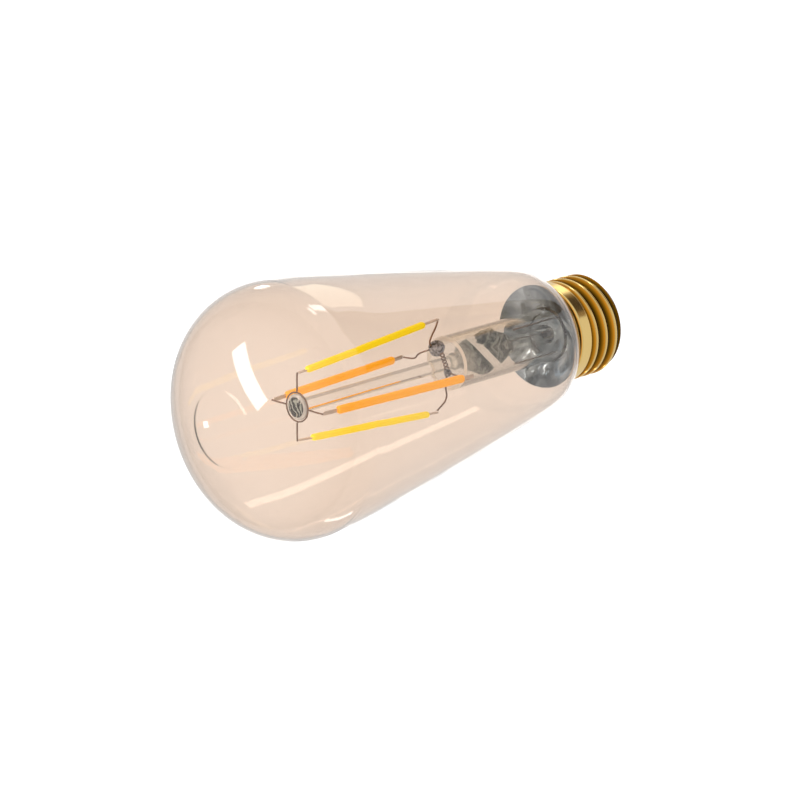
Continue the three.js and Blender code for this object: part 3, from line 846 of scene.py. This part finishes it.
# %% Glass beads
def bead_shape(centre, size):
    """A lump of melted glass round a centre in millimetres."""
    shape = bmesh.new()
    bmesh.ops.create_icosphere(shape, subdivisions=4, radius=size * MM)
    for corner in shape.verts:
        out = corner.co.normalized()
        lump = 0.05 * math.sin(4 * out.x + 3 * out.z) + 0.04 * math.sin(5 * out.y - 2 * out.z)
        corner.co *= 0.97 + lump
    bmesh.ops.translate(shape, verts=shape.verts, vec=Vector(centre) * MM)
    return shape


for side, centre, size in (("upper", (0, 4.4, 61.6), 2.1), ("lower", (2.0, -2.3, 62.3), 1.0)):
    finish_piece(f"{side}_bead", bead_shape(centre, size),
                 bead_glass, [f"glass_bead_{side}"])

# %% [markdown]
# Each bent wire starts on the inner side of its filament's tab and runs through its bends.

# %% Bent wires
tab_end_height = 63
tab_end = Vector((out_from_axis(tab_end_height) - 0.45, 0, tab_end_height))
tab_ends = [Matrix.Rotation(turn, 3, "Z") @ tab_end for turn in filament_turns]
base_routes = [
    [tab_ends[0], (9.4, -4.6, 61.4), (6.9, -5.2, 61.2), (5.2, -3.9, 62.2), (3.1, -2.7, 62.4)],
    [tab_ends[1], (3.6, 9.2, 63.6), (1.6, 7.6, 63.6), (0.4, 6.0, 63.8), (0.1, 5.0, 62.9)],
    [tab_ends[2], (-7.6, 3.6, 62.6), (-5, 4.3, 63.2), (-2, 4.5, 62.4)],
    [tab_ends[3], (-2.6, -8.6, 60.9), (-0.4, -5.6, 61.9), (1.2, -3.2, 62.2)],
]
for number, route in enumerate(base_routes, 1):
    finish_piece(f"bent_wire_{number}", wire_shape(route, wire_radius),
                 stem_wire, [f"base_wire_{number}"])

# %% [markdown]
# The jumper is two wires twisted round each other. Each strand swings round the line between the
# beads, half a turn behind the other.

# %% Twisted jumper
jumper_start, jumper_end = Vector((1.9, 2.9, 62.2)), Vector((2.5, -1.35, 62.6))
jumper_steps = 36
jumper_turns = 2.5
jumper_swing, strand_radius = 0.5, 0.17
twist = bmesh.new()
for phase in (0, math.pi):
    strand = []
    for step in range(jumper_steps + 1):
        angle = phase + 2 * math.pi * jumper_turns * step / jumper_steps
        swing = Vector((math.cos(angle), 0, math.sin(angle))) * jumper_swing
        strand.append(jumper_start.lerp(jumper_end, step / jumper_steps) + swing)
    add_shape(twist, wire_shape(strand, strand_radius, rounds=2))
finish_piece("twisted_link", twist, stem_wire, ["twisted_jumper"])

# %% [markdown]
# ## The shield in the neck
# A thin dished plate lies in the neck round the stem and hides the driver. It is spun from its
# section. A flat washer of the same metal closes the stem round the pump tube, and the leads
# pass through it.

# %% Neck shield and stem washer
bowl_front = smooth_line([(7.1, 22.0), (9.0, 22.4), (10.9, 23.5), (13.4, 25.4)], 8)
bowl_back = smooth_line([(7.1, 21.6), (9.1, 22.0), (11.1, 23.1), (13.6, 25.0)], 8)
finish_piece("dished_shield", spin_outline(bowl_front + bowl_back[::-1], 128, closed=True),
             shield_metal, ["neck_shield"])

washer_outline = [
    (2.35, 22.05), (2.4, 22.0), (5.65, 22.0), (5.7, 22.05),
    (5.7, 22.35), (5.65, 22.4), (2.4, 22.4), (2.35, 22.35)]
finish_piece("pump_tube_washer", spin_outline(washer_outline, 64, closed=True),
             shield_metal, ["stem_washer"])

# %% [markdown]
# ## The screw cap
# The thread is rolled into the sheet, so crest and root are round and the inside follows the
# outside. The shell is spun as a plain cylinder in fine rows, and then each point moves to the
# radius that the helix gives at its height and angle. The thread is right-handed, and it fades
# into the plain skirt above, whose top edge is curled in to the glass.

# %% Screw shell
crest, root, pitch, crest_height = 13.2, 12.15, 3.63, 13.2
skirt, sheet = 13.25, 0.35
thread_bottom, shell_top = 7.2, 22.8
fade_start, fade_length = 17.8, 1.4
curl_start, curl_length, curl_depth = 22.0, 0.8, 0.62
shell_rows = 120


def thread_radius(height, around):
    """The shell's outer radius at a height and an angle."""
    wave = math.cos(2 * math.pi * (height - crest_height) / pitch - around)
    fade = min(max((height - fade_start) / fade_length, 0), 1)
    fade = fade * fade * (3 - 2 * fade)
    rolled = (crest + root) / 2 + (crest - root) / 2 * wave
    curl = min(max((height - curl_start) / curl_length, 0), 1)
    return rolled * (1 - fade) + skirt * fade - curl_depth * (1 - math.sqrt(1 - curl * curl))


shell_heights = [thread_bottom + (shell_top - thread_bottom) * row / shell_rows
                 for row in range(shell_rows + 1)]
shell_outside = [(10.9, 6.3), (11.5, 6.33), (11.95, 6.45), (12.4, 6.7)]
shell_outside += [(crest, z) for z in shell_heights]
shell_inside = [(crest - sheet, z) for z in shell_heights[::-1]]
shell_inside += [(12.1, 6.98), (11.8, 6.8), (11.4, 6.68), (10.9, 6.65)]
shell = spin_outline(shell_outside + shell_inside, 128, closed=True)
for corner in shell.verts:
    height = corner.co.z / MM
    if height < thread_bottom - 0.01:
        continue
    flat_part = Vector((corner.co.x, corner.co.y)) / MM
    inwards = crest - flat_part.length
    radius_now = thread_radius(height, math.atan2(flat_part.y, flat_part.x)) - inwards
    corner.co.x *= radius_now / flat_part.length
    corner.co.y *= radius_now / flat_part.length
finish_piece("brass_shell", shell, brass, ["screw_shell"], crease=50)

# %% [markdown]
# Black glass fills the shell's open end and keeps it apart from the contact, a flat tinned
# button with a rounded edge. Both are turned shapes.

# %% Insulator and contact
insulator_outline = [(0.9, 1.9), (4.9, 1.9), (4.9, 1.4)]
insulator_outline += smooth_line([
    (5.4, 1.35), (6.2, 1.5), (8.2, 3.1), (10.2, 4.9), (10.75, 5.6), (10.8, 6.3)], 4)
insulator_outline += [(10.8, 6.9), (0.9, 6.9)]
finish_piece("black_insulator", spin_outline(insulator_outline, 96, closed=True),
             black_glass, ["cap_insulator"])

contact_outline = [(0, 0), (3.4, 0.0), (4.2, 0.03)] + arc((4.3, 0.5), 0.5, -math.pi / 3, 0, 5)
contact_outline += [Vector((4.8, 1.8)), Vector((0, 1.8))]
finish_piece("tinned_tip", spin_outline(contact_outline, 64),
             tin_plate, ["centre_contact"])

# %% [markdown]
# ## Finishes on the carried-over CAD parts
# Each hidden part keeps its CAD shape and takes the finish of its material slot in the record.

# %% Finish the hidden CAD parts
hidden_parts = {
    "cap_cement": ["cap_cement"],
    "stem_wire": ["stem_lead_common", "stem_lead_cool", "stem_lead_warm"],
    "circuit_board": ["driver_board", "radio_board"],
    "chip_package": ["radio_chip", "driver_chip", "bridge_rectifier", "switch_cool", "switch_warm"],
    "antenna_ceramic": ["chip_antenna"],
    "capacitor_can": ["smoothing_capacitor"],
    "ferrite": ["inductor_core"],
    "copper_wire": ["inductor_winding"],
    "resistor_coat": ["fusible_resistor"],
    "red_insulation": ["live_wire"],
    "blue_insulation": ["neutral_wire"],
    "sleeve_plastic": ["insulating_sleeve"],
}
hidden_finishes["stem_wire"] = stem_wire
for slot, names in hidden_parts.items():
    for name in names:
        for material_slot in nodes[name].material_slots:
            material_slot.material = hidden_finishes[slot]
print("CAD parts finished:", sum(len(names) for names in hidden_parts.values()))

# %% [markdown]
# ## Floor and light
# The floor is a plain pale sheet, so far below the bulb that no shadow of it shows. The camera
# looks at a sheet of lit white paper just above it, and the darker floor round that draws the
# thin dark edges of the glass. Brass looks like what it mirrors, so cards that the camera doesn't
# see give the skirt its brown band and the yellow above it.

# %% Floor and lit backdrop
def stage_sheet(name, centre, half_size, finish, colour, glow=0.0, seen=True):
    """A flat sheet in the stage, centred on a point in metres, which may glow a little."""
    shape = bmesh.new()
    bmesh.ops.create_grid(shape, x_segments=1, y_segments=1, size=1)
    bmesh.ops.scale(shape, verts=shape.verts, vec=(half_size[0], half_size[1], 1))
    bmesh.ops.translate(shape, verts=shape.verts, vec=centre)
    mesh = bpy.data.meshes.new(name)
    shape.to_mesh(mesh)
    shape.free()
    material = start_material(finish, {
        "Base Color": linear(colour), "Roughness": 0.9,
        "Emission Color": linear("#FFFFFF"), "Emission Strength": glow})[0]
    mesh.materials.append(material)
    sheet = bpy.data.objects.new(name, mesh)
    bpy.context.scene.collection.objects.link(sheet)
    sheet.visible_camera = seen
    print("sheet", name)


stage_sheet("floor", (0, 0, -0.62), (12, 12), "matt_pale_floor", "#D0D0D0")
stage_sheet("brown_card", (0.43, 0.5, -0.612), (0.3, 0.34),
            "matt_brown_card", "#7C6B58", seen=False)
stage_sheet("dark_card", (0.43, 0.5, -0.61), (0.2, 0.22),
            "matt_dark_card", "#33281F", seen=False)
stage_sheet("glowing_card", (-0.18, 0.66, -0.61), (0.24, 0.12),
            "lit_cream_card", "#FFF6E0", 0.45, seen=False)
stage_sheet("lit_backdrop", (-0.72, 0, -0.6), (0.40, 0.285), "lit_white_paper", "#F4F4F4", 0.2)

# %% [markdown]
# The sky is white and brighter overhead, which shades the glass softly from top to foot.

# %% Sky
horizon_strength, overhead_strength = 0.55, 1.35
sky = bpy.data.worlds.new("sky")
sky.use_nodes = True
tree = sky.node_tree
direction = add_node(tree, "ShaderNodeTexCoord").outputs["Generated"]
parts = add_node(tree, "ShaderNodeSeparateXYZ", {"Vector": direction})
brightness = add_node(tree, "ShaderNodeMapRange", {
    "Value": parts.outputs["Z"], "To Min": horizon_strength, "To Max": overhead_strength})
tree.links.new(brightness.outputs[0], tree.nodes["Background"].inputs["Strength"])
tree.nodes["Background"].inputs["Color"].default_value = linear("#FFFFFF")
bpy.context.scene.world = sky
print("sky strength:", horizon_strength, "to", overhead_strength)

# %% [markdown]
# Glass shows its lamps as highlights, so each lamp has the shape of one. A large soft box above
# gives the curved highlight on the dome, and a small lamp the spot beside it. Two strips draw the
# long streaks along the flanks, and two low lamps the small patches.

# %% Lamps
def add_lamp(name, azimuth, elevation, distance, size, radiance, aim=(0, 0, 100 * MM), tilt=0.0):
    """A rectangular lamp of even radiance that faces the bulb, unseen by the camera."""
    azimuth, elevation = math.radians(azimuth), math.radians(elevation)
    level_part = math.cos(elevation)
    direction = Vector((
        level_part * math.cos(azimuth), level_part * math.sin(azimuth), math.sin(elevation)))
    light = bpy.data.lights.new(name, "AREA")
    light.shape = "RECTANGLE"
    light.size, light.size_y = size
    light.energy = radiance * math.pi * size[0] * size[1]
    lamp = bpy.data.objects.new(name, light)
    lamp.matrix_world = (Matrix.Translation(Vector(aim) + direction * distance)
                         @ direction.to_track_quat("Z", "Y").to_matrix().to_4x4()
                         @ Matrix.Rotation(math.radians(tilt), 4, "Z"))
    lamp.visible_camera = False
    bpy.context.scene.collection.objects.link(lamp)
    print("lamp", name, "radiance", radiance)


add_lamp("key_softbox", 127, 60.5, 1.0, (0.19, 0.73), 6.5, aim=(12 * MM, 10 * MM, 135 * MM), tilt=-9)
add_lamp("flank_strip", 76, -29, 0.5, (0.06, 0.12), 3.8)
add_lamp("rim_strip", -110, -20, 0.5, (0.03, 0.2), 3.0)
add_lamp("dome_spot", 176, 30, 1.0, (0.045, 0.09), 5.0, aim=(0, 0, 135 * MM))
add_lamp("low_spot_1", 125, -27, 0.5, (0.05, 0.05), 5.0)
add_lamp("low_spot_2", 74, -21.5, 0.8, (0.12, 0.05), 4.0, aim=(24 * MM, 21 * MM, 120 * MM))
